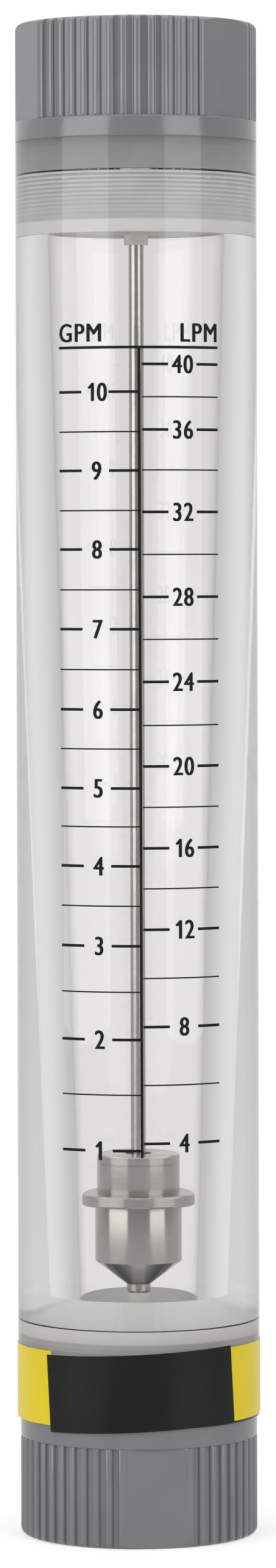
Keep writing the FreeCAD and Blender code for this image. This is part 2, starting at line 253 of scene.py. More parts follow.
class Tree:
    """Short calls for adding linked nodes to a node tree."""

    def __init__(self, tree):
        self.nodes = tree.nodes
        self.links = tree.links

    def add(self, kind, **settings):
        """A node of a type: names in settings are its properties, and its inputs follow with feed."""
        node = self.nodes.new(kind)
        for name, setting in settings.items():
            setattr(node, name, setting)
        return node

    def give(self, socket, source):
        """Gives an input a value or another node's output."""
        if isinstance(source, bpy.types.NodeSocket):
            self.links.new(source, socket)
        else:
            socket.default_value = source

    def feed(self, node, **sources):
        """Gives a node's inputs, named with _ for a space, their values or sources."""
        for name, source in sources.items():
            self.give(node.inputs[name.replace("_", " ")], source)
        return node

    def maths(self, operation, first, second=0.5, clamp=False):
        """The outcome of a sum on one or two numbers."""
        node = self.add("ShaderNodeMath", operation=operation, use_clamp=clamp)
        self.give(node.inputs[0], first)
        self.give(node.inputs[1], second)
        return node.outputs[0]

    def remap(self, source, low, high, to_low, to_high, smooth=False):
        """A number moved from one range to another, and held at its ends."""
        node = self.add("ShaderNodeMapRange", interpolation_type="SMOOTHSTEP" if smooth else "LINEAR")
        self.feed(node, Value=source, From_Min=low, From_Max=high, To_Min=to_low, To_Max=to_high)
        return node.outputs["Result"]

    def mixed(self, factor, first, second):
        """A number between two, each a value or another node's output."""
        node = self.feed(self.add("ShaderNodeMapRange"), Value=factor, To_Min=first, To_Max=second)
        return node.outputs["Result"]

    def blend(self, factor, first, second):
        """A colour between two."""
        node = self.add("ShaderNodeMix", data_type="RGBA")
        for name, kind, source in (("Factor", "VALUE", factor), ("A", "RGBA", first), ("B", "RGBA", second)):
            self.give(next(s for s in node.inputs if s.name == name and s.type == kind), source)
        return next(s for s in node.outputs if s.type == "RGBA")

    def shared(self, group, **sources):
        """A node of a shader group that several materials use."""
        return self.feed(self.add("ShaderNodeGroup", node_tree=bpy.data.node_groups[group]), **sources)

    def place(self):
        """Where on the object a point lies."""
        return self.add("ShaderNodeTexCoord").outputs["Object"]

    def parts(self, vector):
        """The X, Y and Z of a place or a direction."""
        return self.feed(self.add("ShaderNodeSeparateXYZ"), Vector=vector).outputs

    def noise(self, place, **sources):
        """A cloudy pattern over places on the object."""
        return self.feed(self.add("ShaderNodeTexNoise"), Vector=place, **sources).outputs["Fac"]

    def toned(self, colour, value):
        """A colour made lighter or darker."""
        return self.feed(self.add("ShaderNodeHueSaturation"), Color=colour, Value=value).outputs["Color"]

    def bump(self, height, strength, distance):
        """A normal from a height."""
        node = self.feed(self.add("ShaderNodeBump"), Strength=strength, Distance=distance, Height=height)
        return node.outputs["Normal"]

    def turned(self, path, way):
        """1 for a ray that has been turned in a way, which Light Path counts, and 0 for one that hasn't."""
        return self.maths("GREATER_THAN", path[f"{way} Depth"], 0.5)


def grain_group():
    """Moulded or coated surface: soft mottling of tone and roughness, and a fine uneven skin."""
    tree, source = new_group("surface_grain", SURFACE, Colour=GREY, Tone=0.1, Roughness=0.4,
                             Roughness_spread=0.1, Scale=400.0, Height=0.05)
    place = tree.place()
    cloud = tree.noise(place, Scale=90.0, Detail=4.0, Roughness=0.6)
    skin = tree.noise(place, Scale=source["Scale"], Detail=3.0)
    tone = tree.maths("MULTIPLY", tree.remap(cloud, 0.3, 0.7, -1, 1), source["Tone"])
    spread = tree.maths("MULTIPLY", tree.remap(cloud, 0.3, 0.7, -0.5, 0.5), source["Roughness spread"])
    tree.feed(tree.add("NodeGroupOutput"), Colour=tree.toned(source["Colour"], tree.maths("ADD", tone, 1.0)),
              Roughness=tree.maths("ADD", source["Roughness"], spread, clamp=True),
              Normal=tree.bump(skin, source["Height"], 0.2 * MM))


def lathe_group():
    """Turned surface: fine rings round Z, in tone, roughness and height."""
    tree, source = new_group("lathe_rings", SURFACE, Colour=GREY, Roughness=0.25, Pitch=0.15 * MM, Tone=0.1,
                             Height=0.1)
    place = tree.place()
    ring = tree.maths("DIVIDE", tree.parts(place)["Z"], source["Pitch"])
    rings = tree.add("ShaderNodeTexNoise", noise_dimensions="1D")
    line = tree.feed(rings, W=ring, Scale=1.0, Detail=2.0).outputs["Fac"]
    stain = tree.noise(place, Scale=220.0, Detail=5.0)
    tone = tree.maths("MULTIPLY", tree.remap(line, 0.3, 0.7, -1, 1), source["Tone"])
    mottle = tree.remap(stain, 0.35, 0.75, 0.04, -0.05)
    value = tree.maths("ADD", tree.maths("ADD", tone, mottle), 1.0)
    spread = tree.remap(line, 0.3, 0.7, -0.04, 0.06)
    tree.feed(tree.add("NodeGroupOutput"), Colour=tree.toned(source["Colour"], value),
              Roughness=tree.maths("ADD", source["Roughness"], spread, clamp=True),
              Normal=tree.bump(line, source["Height"], 0.02 * MM))


# Strengths of the surroundings in a mirror, on each side of the meter, overhead, and in the floor's sectors
# that hold a painted reflection of the soft boxes
VIEWER_SIDE, FAR_SIDE, OVERHEAD, PAINTED_BOX_REFLECTION = 0.35, 0.88, 1.5, 1.15
# Where the floor's two sectors with the soft boxes' painted reflection begin and end, in degrees from the
# front, each with its soft edge
SECTOR_START, SECTOR_END = (26, 33), (68, 77)


def surround_group():
    """How bright the surroundings are in a mirror: white behind and above the meter, dim before it.

    Just below the level, two sectors hold a painted reflection of each soft box, as on a glossy floor, and the
    floor shows it in a mirror as a glow of its own.
    """
    tree, source = new_group("surround", (("Strength", "NodeSocketFloat"),), Direction=(0.0, 1.0, 0.0))
    unit = tree.add("ShaderNodeVectorMath", operation="NORMALIZE")
    direction = tree.parts(tree.feed(unit, Vector=source["Direction"]).outputs["Vector"])
    behind = tree.remap(direction["Y"], -0.2, 1.0, VIEWER_SIDE, FAR_SIDE)
    above = tree.remap(direction["Z"], 0.45, 0.75, 0.0, OVERHEAD, smooth=True)
    forward = tree.maths("MULTIPLY", direction["Y"], -1.0)
    across = tree.maths("ABSOLUTE", tree.maths("ARCTAN2", direction["X"], forward))
    near = tree.remap(across, *map(math.radians, SECTOR_START), 0.0, 1.0, smooth=True)
    far = tree.remap(across, *map(math.radians, SECTOR_END), 1.0, 0.0, smooth=True)
    low = tree.remap(direction["Z"], -0.02, 0.03, PAINTED_BOX_REFLECTION, 0.0, smooth=True)
    painted_box_reflection = tree.maths("MULTIPLY", tree.maths("MULTIPLY", near, far), low)
    brighter = tree.maths("MAXIMUM", behind, above)
    tree.feed(tree.add("NodeGroupOutput"), Strength=tree.maths("MAXIMUM", brighter, painted_box_reflection))


def new_material(name):
    """A new material's node tree and shader."""
    material = bpy.data.materials.new(name)
    material.use_nodes = True
    tree = Tree(material.node_tree)
    return tree, next(n for n in tree.nodes if n.type == "BSDF_PRINCIPLED")


def with_alpha(rgb):
    """A colour as a node's input takes it."""
    return (*rgb, 1.0)


def cover(tree, shader, group, **sources):
    """Gives a shader the colour, roughness and normal that a shared group puts out."""
    skin = tree.shared(group, **sources).outputs
    tree.feed(shader, Base_Color=skin["Colour"], Roughness=skin["Roughness"], Normal=skin["Normal"])


def plastic(name, rgb, roughness, tone=0.05, spread=0.08, scale=900.0, height=0.12, gloss=0.5):
    """A plastic, film or ink with the shared surface grain."""
    tree, shader = new_material(name)
    cover(tree, shader, "surface_grain", Colour=with_alpha(rgb), Tone=tone, Roughness=roughness,
          Roughness_spread=spread, Scale=scale, Height=height)
    shader.inputs["Specular IOR Level"].default_value = gloss


def bonded_plastic(name, land_painted_light_rgb, thread_painted_light_rgb, roughness, land, pitch):
    """Grey plastic seen through the wall it is bonded to, with painted light: without gloss, painted paler
    than the fittings' grey for the light that the wall brings onto it, paler still in the thread, and ringed
    there with painted light and dark lines.
    """
    tree, shader = new_material(name)
    off = tree.maths("ABSOLUTE", tree.maths("SUBTRACT", tree.parts(tree.place())["Z"], TOTAL_HEIGHT / 2))
    deep = tree.maths("SUBTRACT", TOTAL_HEIGHT / 2 - HEAD_LENGTH, off)
    # Painted light: from the plain land into the thread the colour turns from the land's painted grey to the
    # thread's paler one
    pale = tree.remap(deep, land, land + 0.6 * MM, 0.0, 1.0, smooth=True)
    # Painted light and shade: a bright and a dark line each pitch, strongest where the thread starts and
    # fading along it
    turns = tree.maths("SINE", tree.maths("MULTIPLY", tree.maths("SUBTRACT", deep, land), FULL_TURN / pitch))
    painted_ring_light = tree.maths("MULTIPLY", turns, tree.remap(deep, land, land + 9 * MM, 0.30, 0.06))
    value = tree.maths("ADD", tree.maths("MULTIPLY", painted_ring_light, pale), 1.0)
    grey = tree.toned(tree.blend(pale, with_alpha(land_painted_light_rgb), with_alpha(thread_painted_light_rgb)), value)
    cover(tree, shader, "lathe_rings", Colour=grey, Roughness=roughness, Pitch=0.9 * MM, Tone=0.025,
          Height=0.01)
    shader.inputs["Specular IOR Level"].default_value = 0.0


def turned_steel(name, rgb, roughness, pitch, tone, height, drawn_out):
    """Steel with lathe rings, whose gloss is drawn out along the axis."""
    tree, shader = new_material(name)
    cover(tree, shader, "lathe_rings", Colour=with_alpha(rgb), Roughness=roughness, Pitch=pitch, Tone=tone,
          Height=height)
    around = tree.add("ShaderNodeTangent", direction_type="RADIAL", axis="Z").outputs["Tangent"]
    tree.feed(shader, Tangent=around, Metallic=1.0, Anisotropic=drawn_out, Anisotropic_Rotation=0.25)


def clear_acrylic(name, rgb, roughness, clear=1.0, edge=0.4):
    """Acrylic whose tint is darkened where the wall is seen at a glancing angle, as painted shade for the dark
    rims and bore lines, and which is whiter where it is less clear.
    """
    tree, shader = new_material(name)
    place = tree.place()
    smear = tree.noise(place, Scale=60.0, Detail=5.0, Roughness=0.65)
    ripple = tree.noise(place, Scale=45.0, Detail=1.0)
    painted_rim_shade_mask = tree.feed(tree.add("ShaderNodeLayerWeight"), Blend=0.5).outputs["Facing"]
    dulled = min(1.0, roughness * 1.5 + 0.02)
    # Painted shade: the tint darkens down to the edge share as the wall is seen more and more at a glancing
    # angle
    tree.feed(shader, Base_Color=tree.toned(with_alpha(rgb), tree.remap(painted_rim_shade_mask, 0.5, 0.9, 1.0, edge)),
              Roughness=tree.remap(smear, 0.45, 0.8, roughness, dulled),
              Normal=tree.bump(ripple, 0.025, 0.2 * MM), IOR=1.49, Transmission_Weight=clear)


def dress_node(node, material):
    """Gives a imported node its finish."""
    piece = frame["nodes"][node]
    piece.data.materials.clear()
    piece.data.materials.append(material)


# --- Operators ---

class ROTAMETER_OT_finishes(bpy.types.Operator):
    """Builds the shader groups and the materials of every piece"""

    bl_idname = "rotameter.finishes"
    bl_label = "Finishes"

    def execute(self, context):
        look = context.scene.rotameter_finish
        size = context.scene.rotameter_sizes
        grain_group()
        lathe_group()
        surround_group()
        clear_acrylic("polished_acrylic", look.acrylic_colour, look.acrylic_roughness)
        clear_acrylic("turned_acrylic", look.turned_colour, 0.32, clear=0.3, edge=0.9)
        plastic("moulded_pvc", look.pvc_colour, look.pvc_roughness, spread=0.06, scale=1400, height=0.06,
                gloss=1.0)
        bonded_plastic("bonded_pvc", look.bond_colour, look.thread_colour, 0.5, size.joint_land,
                       size.joint_pitch)
        plastic("moulded_holder", look.holder_colour, 0.4, tone=0.04, scale=1100, height=0.15)
        plastic("printing_ink", look.ink_colour, 0.6, tone=0.3, spread=0.2, scale=2500, height=0.3, gloss=0.2)
        plastic("yellow_film", look.band_colour, 0.3, tone=0.04, spread=0.1, scale=300, height=0.1, gloss=0.3)
        plastic("black_film", look.panel_colour, 0.26, tone=0.3, spread=0.1, scale=260, height=0.1, gloss=0.3)
        turned_steel("turned_steel", look.steel_colour, look.steel_roughness, pitch=0.12 * MM, tone=0.035,
                     height=0.12, drawn_out=0.85)
        turned_steel("ground_steel", look.steel_colour, look.steel_roughness * 0.8, pitch=0.08 * MM,
                     tone=0.03, height=0.1, drawn_out=0.8)
        return {"FINISHED"}


class ROTAMETER_OT_tube(bpy.types.Operator):
    """Makes the clear tube: taper bore, flare, and a threaded socket at each end"""

    bl_idname = "rotameter.tube"
    bl_label = "Metering tube"

    def execute(self, context):
        size = context.scene.rotameter_sizes
        low, high = TUBE_LOW.z, TUBE_HIGH.z
        bond, outer, bevel = size.bond_radius, size.tube_radius, 0.12 * MM
        lower_ledge = low + size.socket_depth
        upper_ledge = high - size.socket_depth
        thread_start = size.joint_land
        thread_end = size.socket_depth - THREAD_RUNOUT

        def joint_thread(start, end):
            return ring_thread(JOINT_RING, bond, size.groove_radius, start, end, size.joint_pitch,
                               joint_depth)

        bm = bmesh.new()
        outline = drawn_profile(bm, [
            (bond + bevel, low), (outer - bevel, low), (outer, low + bevel), (outer, high - bevel),
            (outer - bevel, high), (bond + bevel, high), (bond, high - bevel),
            *joint_thread(high - thread_start, high - thread_end),
            (bond, upper_ledge), (size.wide_bore, upper_ledge),
            (size.narrow_bore, lower_ledge + size.flare_length), (size.flare_radius, lower_ledge),
            (bond, lower_ledge),
            *reversed(joint_thread(low + thread_start, low + thread_end)),
            (bond, low + bevel),
        ])
        spun(bm, outline)
        tube = finished_piece("clear_tube", bm, bpy.data.materials["polished_acrylic"])
        tube.data.materials.append(bpy.data.materials["turned_acrylic"])
        for face in tube.data.polygons:
            reach = math.hypot(*face.center[:2])
            polished = lower_ledge + size.flare_length < face.center.z < upper_ledge - CLOSE
            if reach < bond - CLOSE and not polished:
                face.material_index = 1
        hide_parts("metering_tube")
        return {"FINISHED"}


# Depth of a rib's side below its crest, as a share of the groove's depth, by the distance in millimetres from
# the middle of the groove
RIB_SIDE = ((0.0, 1.0), (0.42, 1.0), (0.52, 0.95), (0.66, 0.40), (0.74, 0.235), (0.84, 0.16), (0.94, 0.105),
            (1.05, 0.057), (1.16, 0.025), (1.27, 0.006), (1.38, 0.0))
# Distance inside the head's radius and above the ledge, as shares of the notch under the collar
NOTCH_SIDE = ((0.76, 0.25), (0.28, 0.72), (0.0, 1.8))
NOTCH, LEDGE_LIP, COLLAR_BEVEL = 0.2 * MM, 0.02 * MM, 0.05 * MM
RIM_TURNS = (0, 10, 20, 30, 40, 52, 64, 77, 90)
# Where the head's outside ends on the end face and on the collar's inner face, and the width of the end face's
# outer ring
FACE_RADIUS, SHOULDER_RADIUS, FACE_EDGE = 17 * MM, 20.4 * MM, 0.9 * MM
FLATS, GROOVES, RIB_ANGLE, FLAT_HALF_ANGLE = 3, 13, 6.6, 15.45
SECTOR = 360 / FLATS
UPPER_FLAT, LOWER_FLAT = -39.1, -81.2
RIB_STEPS, CORE_STEPS = 1440, 192
PORT_RUNOUT = 1.5 * MM


class ROTAMETER_OT_fittings(bpy.types.Operator):
    """Makes the two fittings: ribbed head with flats, collar, threaded port, and spigot in the tube"""

    bl_idname = "rotameter.fittings"
    bl_label = "Fittings"

    def execute(self, context):
        self.size = context.scene.rotameter_sizes
        radius = self.size.tube_radius
        self.fitting("lower_fitting", radius - self.size.head_step, LOWER_FLAT, upturned=False)
        self.fitting("upper_fitting", radius, UPPER_FLAT, upturned=True)
        return {"FINISHED"}

    def fitting(self, node, head_radius, flat, upturned):
        """One fitting on its port at the base, or turned over at the top."""
        bm = bmesh.new()
        self.turn_third(bm, self.head_outline(head_radius), RIB_STEPS // FLATS)
        self.cut_ribs(bm.verts, head_radius, flat)
        self.complete(bm)
        core = bmesh.new()
        self.turn_third(core, self.core_outline(), CORE_STEPS // FLATS)
        self.complete(core)
        mesh = bpy.data.meshes.new("core")
        core.to_mesh(mesh)
        core.free()
        bm.from_mesh(mesh)
        bpy.data.meshes.remove(mesh)
        for level in (0, HEAD_LENGTH):
            rims = [edge for edge in bm.edges if edge.is_boundary
                    and all(abs(vert.co.z - level) < CLOSE for vert in edge.verts)]
            bmesh.ops.triangle_fill(bm, use_beauty=True, use_dissolve=False, edges=rims, normal=(0, 0, 1))
        if upturned:
            bmesh.ops.scale(bm, vec=(1, 1, -1), verts=bm.verts)
            bmesh.ops.translate(bm, vec=(0, 0, TOTAL_HEIGHT), verts=bm.verts)
        piece = finished_piece(f"ribbed_{node}", bm, bpy.data.materials["moulded_pvc"])
        # Inside the tube the fitting takes the bonded plastic with its painted light
        piece.data.materials.append(bpy.data.materials["bonded_pvc"])
        bore, spigot = self.size.flow_radius + CLOSE, self.size.spigot_radius + CLOSE
        for face in piece.data.polygons:
            in_tube = TUBE_LOW.z < face.center.z < TUBE_HIGH.z
            if in_tube and bore < math.hypot(*face.center[:2]) < spigot:
                face.material_index = 1
        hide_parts(node)

    def turn_third(self, bm, corners, steps):
        """Spins an open outline a third of a turn."""
        points = [bm.verts.new((radius, 0, height)) for radius, height in corners]
        spun(bm, points + [bm.edges.new(pair) for pair in zip(points, points[1:])], FULL_TURN / FLATS, steps)

    def complete(self, bm):
        """Adds the other two thirds of a turning and joins them."""
        first = [*bm.verts, *bm.edges, *bm.faces]
        for part in range(1, FLATS):
            third = bmesh.ops.duplicate(bm, geom=first)["geom"]
            bmesh.ops.rotate(bm, cent=(0, 0, 0), matrix=Matrix.Rotation(part * FULL_TURN / FLATS, 3, "Z"),
                             verts=[item for item in third if isinstance(item, bmesh.types.BMVert)])
        bmesh.ops.remove_doubles(bm, verts=bm.verts, dist=MERGE)

    def head_outline(self, radius):
        """Radius and height of the head's outside, from the port's end face to the collar's inner face."""
        size = self.size
        rim = size.rim_round
        ledge = HEAD_LENGTH - size.collar_length
        turns = [math.radians(angle) for angle in RIM_TURNS]
        return [(FACE_RADIUS, 0), (radius - rim - FACE_EDGE, 0),
                *((radius - rim + rim * math.sin(a), rim - rim * math.cos(a)) for a in turns),
                (radius, ledge / 2), (radius, ledge - NOTCH), (radius - NOTCH, ledge),
                (radius - NOTCH, ledge + LEDGE_LIP),
                *((radius - inward * NOTCH, ledge + up * NOTCH) for inward, up in NOTCH_SIDE),
                (radius, HEAD_LENGTH - COLLAR_BEVEL), (radius - COLLAR_BEVEL, HEAD_LENGTH),
                (SHOULDER_RADIUS, HEAD_LENGTH)]

    def core_outline(self):
        """Radius and height of the port, its thread, the flow bore and the spigot."""
        size = self.size
        root = PORT_RADIUS + size.port_thread_depth
        thread = ring_thread(PORT_RING, PORT_RADIUS, root, size.port_lead, size.port_depth - PORT_RUNOUT,
                             size.port_pitch)
        return [(PORT_RADIUS + size.port_lead, 0), (PORT_RADIUS, size.port_lead), *thread,
                (PORT_RADIUS, size.port_depth), (size.flow_radius, size.port_depth),
                (size.flow_radius, SPIGOT_END), (size.spigot_radius, SPIGOT_END),
                (size.spigot_radius, HEAD_LENGTH)]

    def cut_ribs(self, verts, head_radius, flat):
        """Draws the head's verts in to the grooves and the flats."""
        size = self.size
        ledge = HEAD_LENGTH - size.collar_length
        first = (SECTOR - (GROOVES - 1) * RIB_ANGLE) / 2
        for vert in verts:
            if vert.co.z > ledge + CLOSE:
                continue
            radius = math.hypot(vert.co.x, vert.co.y)
            bearing = math.degrees(math.atan2(vert.co.y, vert.co.x))
            turn = (bearing - flat + SECTOR / 2) % SECTOR - SECTOR / 2
            if abs(turn) < FLAT_HALF_ANGLE:
                limit = (head_radius - size.flat_depth) / math.cos(math.radians(turn))
            else:
                count = max(0, round((abs(turn) - first) / RIB_ANGLE))
                off = math.radians(abs(abs(turn) - first - count * RIB_ANGLE)) * head_radius
                limit = head_radius - size.groove_depth * self.rib_side(off / MM)
            if radius > limit:
                vert.co.x *= limit / radius
                vert.co.y *= limit / radius

    def rib_side(self, off):
        """The share of the groove's depth at a distance from its middle."""
        for (near, high), (far, low) in zip(RIB_SIDE, RIB_SIDE[1:]):
            if off < far:
                return high + (low - high) * (off - near) / (far - near)
        return 0.0


class ROTAMETER_OT_inner_parts(bpy.types.Operator):
    """Gives the rod holders and the rod their finishes"""

    bl_idname = "rotameter.inner_parts"
    bl_label = "Rod and holders"

    def execute(self, context):
        for name in ("lower_rod_holder", "upper_rod_holder"):
            dress_node(name, bpy.data.materials["moulded_holder"])
        dress_node("guide_rod", bpy.data.materials["ground_steel"])
        return {"FINISHED"}


GROOVE_BELOW_TOP, RECESS_DEPTH = 1.75 * MM, 1 * MM


class ROTAMETER_OT_float(bpy.types.Operator):
    """Makes the float: foot, cone, skirt, the disc that the scale is read at, and a grooved stem"""

    bl_idname = "rotameter.float"
    bl_label = "Float"

    def execute(self, context):
        size = context.scene.rotameter_sizes
        disc, stem, skirt, nose = FLOAT_HIGH.x, size.stem_radius, size.skirt_radius, size.nose_radius
        cut, fine, line, soft = size.float_chamfer, 0.1 * MM, 0.12 * MM, 0.3 * MM
        tall = FLOAT_HIGH.z - FLOAT_LOW.z
        cone, under, top = size.nose_top, size.skirt_top, size.skirt_top + size.disc_thickness
        groove = tall - GROOVE_BELOW_TOP
        recess, recess_floor = size.float_bore + RECESS_DEPTH, tall - RECESS_DEPTH
        corners = [
            (size.float_bore, 0), (nose - fine, 0), (nose, fine), (nose, size.nose_foot),
            (skirt - soft, cone - soft / 2), (skirt - soft / 5, cone + soft / 6), (skirt, cone + soft),
            (skirt, under - soft), (skirt - line, under), (disc - cut, under), (disc, under + cut),
            (disc, top - cut), (disc - cut, top), (stem - fine, top), (stem, top + soft),
            (stem, groove - line), (stem - fine, groove - line / 3), (stem - fine, groove + line / 3),
            (stem, groove + line), (stem, tall - cut), (stem - cut, tall), (recess, tall),
            (recess, recess_floor), (size.float_bore, recess_floor),
        ]
        bm = bmesh.new()
        spun(bm, drawn_profile(bm, [(radius, FLOAT_LOW.z + height) for radius, height in corners]))
        piece = finished_piece("turned_float", bm, bpy.data.materials["turned_steel"], body="float")
        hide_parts("float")
        return {"FINISHED"}


# How far a column leans over to the right, from the top line down, in degrees
LEFT_LEAN, LINE_LEAN, UPRIGHT = 1.2, 0.55, 0.0
# The line down the middle: its direction, in degrees from the front to the right, and its lean
LINE = (1.2, LINE_LEAN)
# Each column of the scale: its marks' heights above the base in millimetres, the step from number to number,
# and the direction and the lean of its figures and of its marks' ends. A fine mark reaches from the first end
# to the last, and a bold one has its figure between the second and the third.
COLUMNS = (
    ((78.0, 88.9, 99.7, 109.0, 118.0, 125.8, 133.6, 141.3, 148.8, 156.5, 164.2, 172.0, 179.9, 187.6, 195.5,
      203.1, 210.9, 218.5, 226.3), 1, (-19.2, LEFT_LEAN),
     ((-39.1, LEFT_LEAN), (-26.7, LEFT_LEAN), (-13.2, LEFT_LEAN), LINE)),
    ((79.4, 90.8, 102.2, 111.7, 121.2, 129.2, 137.1, 145.1, 153.1, 161.1, 169.6, 177.9, 186.2, 194.5, 202.8,
      211.0, 218.9, 225.3, 231.7), 4, (22.2, UPRIGHT),
     ((2.6, UPRIGHT), (15.0, UPRIGHT), (29.3, UPRIGHT), (41.5, UPRIGHT))),
)
HEADINGS = (("GPM", -27.6), ("LPM", 31.0))
FIGURE_WIDTH, HEADING_WIDTH = 0.80, 0.86
TOP_LINE = 235.0 * MM
TOP_LINE_ENDS = (-39.1, 41.5)
HEADING_LEVEL = 237.9 * MM
LINE_END = 76.6 * MM
# Degrees of a mark between two of its corners
MARK_STEP = 2.5
# Where the copies that thicken a stroke lie, in stroke spreads to the side and up, and how much further each
# next one stands out, as a share of the ink's thickness
STROKE_COPIES = ((-1, -0.15), (0, 0.15), (1, -0.15))
COPY_RISE = 0.15
GLYPH_MERGE = 0.0001
# The flag of a 1, in sizes of the lettering: how wide its bar is, how far the bar moves towards a figure that
# follows, where the flag's middle lies from the bar's top left corner, its turn and its three sides
BAR_WIDTH, BAR_SHIFT = 0.16, 0.1
FLAG_ACROSS, FLAG_DOWN, FLAG_TURN, FLAG_SIDES = -0.04, -0.12, math.radians(-50), (0.075, 0.27, 0.96)


class ROTAMETER_OT_print(bpy.types.Operator):
    """Prints the flow scale on the tube: two columns of marks and numbers, and the line between them"""

    bl_idname = "rotameter.print"
    bl_label = "Printed scale"

    def execute(self, context):
        size = context.scene.rotameter_sizes
        self.radius = size.tube_radius
        self.ink = size.ink_thickness
        self.spread = size.stroke_spread
        bm = bmesh.new()
        for column in COLUMNS:
            self.column(bm, size, *column)
        self.mark(bm, *TOP_LINE_ENDS, TOP_LINE, size.bold_line)
        for text, bearing in HEADINGS:
            self.letter(bm, text, bearing, HEADING_LEVEL, size.heading_height, HEADING_WIDTH)
        self.upright(bm, LINE_END, TOP_LINE, size.bold_line)
        finished_piece("scale_print", bm, bpy.data.materials["printing_ink"])
        return {"FINISHED"}

    def column(self, bm, size, levels, step, figure, ends):
        """One column of marks, every other one fine and the rest bold with a number."""
        for count, level in enumerate(levels):
            height = level * MM
            first, second, third, last = (self.leaned(bearing, height, lean) for bearing, lean in ends)
            if count % 2:
                self.mark(bm, first, last, height, size.fine_line)
                continue
            self.mark(bm, first, second, height, size.bold_line)
            self.mark(bm, third, last, height, size.bold_line)
            number = step * (1 + count // 2)
            bearing = self.leaned(figure[0], height, figure[1])
            self.letter(bm, str(number), bearing, height, size.figure_height, FIGURE_WIDTH)

    def leaned(self, bearing, height, lean):
        """A bearing moved over by its share of a lean at a height."""
        return bearing + lean * (TOP_LINE - height) / (TOP_LINE - LINE_END)

    def wrap(self, verts):
        """Lays flat verts, with x along the arc, y outwards and z up, on the tube."""
        for vert in verts:
            angle = vert.co.x / self.radius
            reach = self.radius + self.ink / 2 + vert.co.y
            vert.co = (reach * math.sin(angle), -reach * math.cos(angle), vert.co.z)

    def mark(self, bm, start, end, height, width):
        """A thin strip of ink round the tube between two directions."""
        section = bmesh.ops.create_grid(bm, x_segments=1, y_segments=1, size=0.5)["verts"]
        place = (Matrix.Rotation(math.radians(start), 4, "Z")
                 @ Matrix.Translation((0, -self.radius - self.ink / 2, height))
                 @ Matrix.Rotation(math.pi / 2, 4, "Y")
                 @ Matrix.Diagonal((width, self.ink, 1, 1)))
        bmesh.ops.transform(bm, matrix=place, verts=section)
        face = section[0].link_faces[0]
        spun(bm, [face, *face.edges, *face.verts], math.radians(end - start),
             max(1, round(abs(end - start) / MARK_STEP)))

    def upright(self, bm, low, high, width):
        """The line down the tube, which leans a little."""
        made = len(bm.verts)
        half = math.degrees(width / self.radius) / 2
        self.mark(bm, LINE[0] - half, LINE[0] + half, (low + high) / 2, high - low)
        bm.verts.ensure_lookup_table()
        for vert in bm.verts[made:]:
            turn = math.radians(self.leaned(0, vert.co.z, LINE_LEAN))
            bmesh.ops.rotate(bm, cent=(0, 0, 0), matrix=Matrix.Rotation(turn, 3, "Z"), verts=[vert])

    def letter(self, bm, text, bearing, height, tall, wide):
        """Bold lettering centred on a direction and a height, thickened by copies laid side by side."""
        curve = bpy.data.curves.new("lettering", "FONT")
        curve.body = text
        curve.align_x = curve.align_y = "CENTER"
        curve.size = 1.0
        curve.space_character = 1.14
        curve.resolution_u = 5
        curve.extrude = 0.5
        holder = bpy.data.objects.new("lettering", curve)
        mesh = bpy.data.meshes.new_from_object(holder)
        self.join_glyphs(mesh, text)
        low, high = (pick(vert.co.y for vert in mesh.vertices) for pick in (min, max))
        scale = (tall - 0.3 * self.spread) / (high - low)
        for count, (across, up) in enumerate(STROKE_COPIES):
            before = len(bm.verts)
            bm.from_mesh(mesh)
            bm.verts.ensure_lookup_table()
            made = bm.verts[before:]
            flat = (Matrix.Translation((math.radians(bearing) * self.radius + across * self.spread, 0,
                                        height + up * self.spread))
                    @ Matrix.Rotation(math.pi / 2, 4, "X")
                    @ Matrix.Diagonal((scale * wide, scale, self.ink * (1 + COPY_RISE * count), 1))
                    @ Matrix.Translation((0, -(low + high) / 2, 0)))
            bmesh.ops.transform(bm, matrix=flat, verts=made)
            self.wrap(made)
        bpy.data.objects.remove(holder)
        bpy.data.curves.remove(curve)
        bpy.data.meshes.remove(mesh)

    def join_glyphs(self, mesh, text):
        """Closes the lettering's seams, and gives a leading 1 its flag."""
        glyphs = bmesh.new()
        glyphs.from_mesh(mesh)
        bmesh.ops.remove_doubles(glyphs, verts=glyphs.verts, dist=GLYPH_MERGE)
        if text.startswith("1"):
            self.add_flag(glyphs, len(text) > 1)
        glyphs.to_mesh(mesh)
        glyphs.free()

    def add_flag(self, glyphs, followed):
        """Gives a leading 1 its flag, and moves its bar towards a figure that follows."""
        left, top = min(vert.co.x for vert in glyphs.verts), max(vert.co.y for vert in glyphs.verts)
        bar = [vert for vert in glyphs.verts if vert.co.x < left + BAR_WIDTH]
        shift = BAR_SHIFT if followed else 0.0
        bmesh.ops.translate(glyphs, vec=(shift, 0, 0), verts=bar)
        place = (Matrix.Translation((left + shift + FLAG_ACROSS, top + FLAG_DOWN, 0))
                 @ Matrix.Rotation(FLAG_TURN, 4, "Z") @ Matrix.Diagonal((*FLAG_SIDES, 1)))
        bmesh.ops.create_cube(glyphs, size=1, matrix=place)


class ROTAMETER_OT_label(bpy.types.Operator):
    """Makes the label's band and panel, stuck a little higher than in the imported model"""

    bl_idname = "rotameter.label"
    bl_label = "Label"

    def execute(self, context):
        rise = context.scene.rotameter_sizes.label_rise
        for node, finish, slot in (("label_band", "yellow_film", "yellow_label"),
                                   ("label_panel", "black_film", "black_label")):
            bm = bmesh.new()
            bm.from_mesh(frame["nodes"][node].data)
            bmesh.ops.remove_doubles(bm, verts=bm.verts, dist=MERGE)
            bmesh.ops.translate(bm, vec=(0, 0, rise), verts=bm.verts)
            film = finished_piece(f"printed_{node}", bm, bpy.data.materials[finish])
            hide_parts(node)
        return {"FINISHED"}


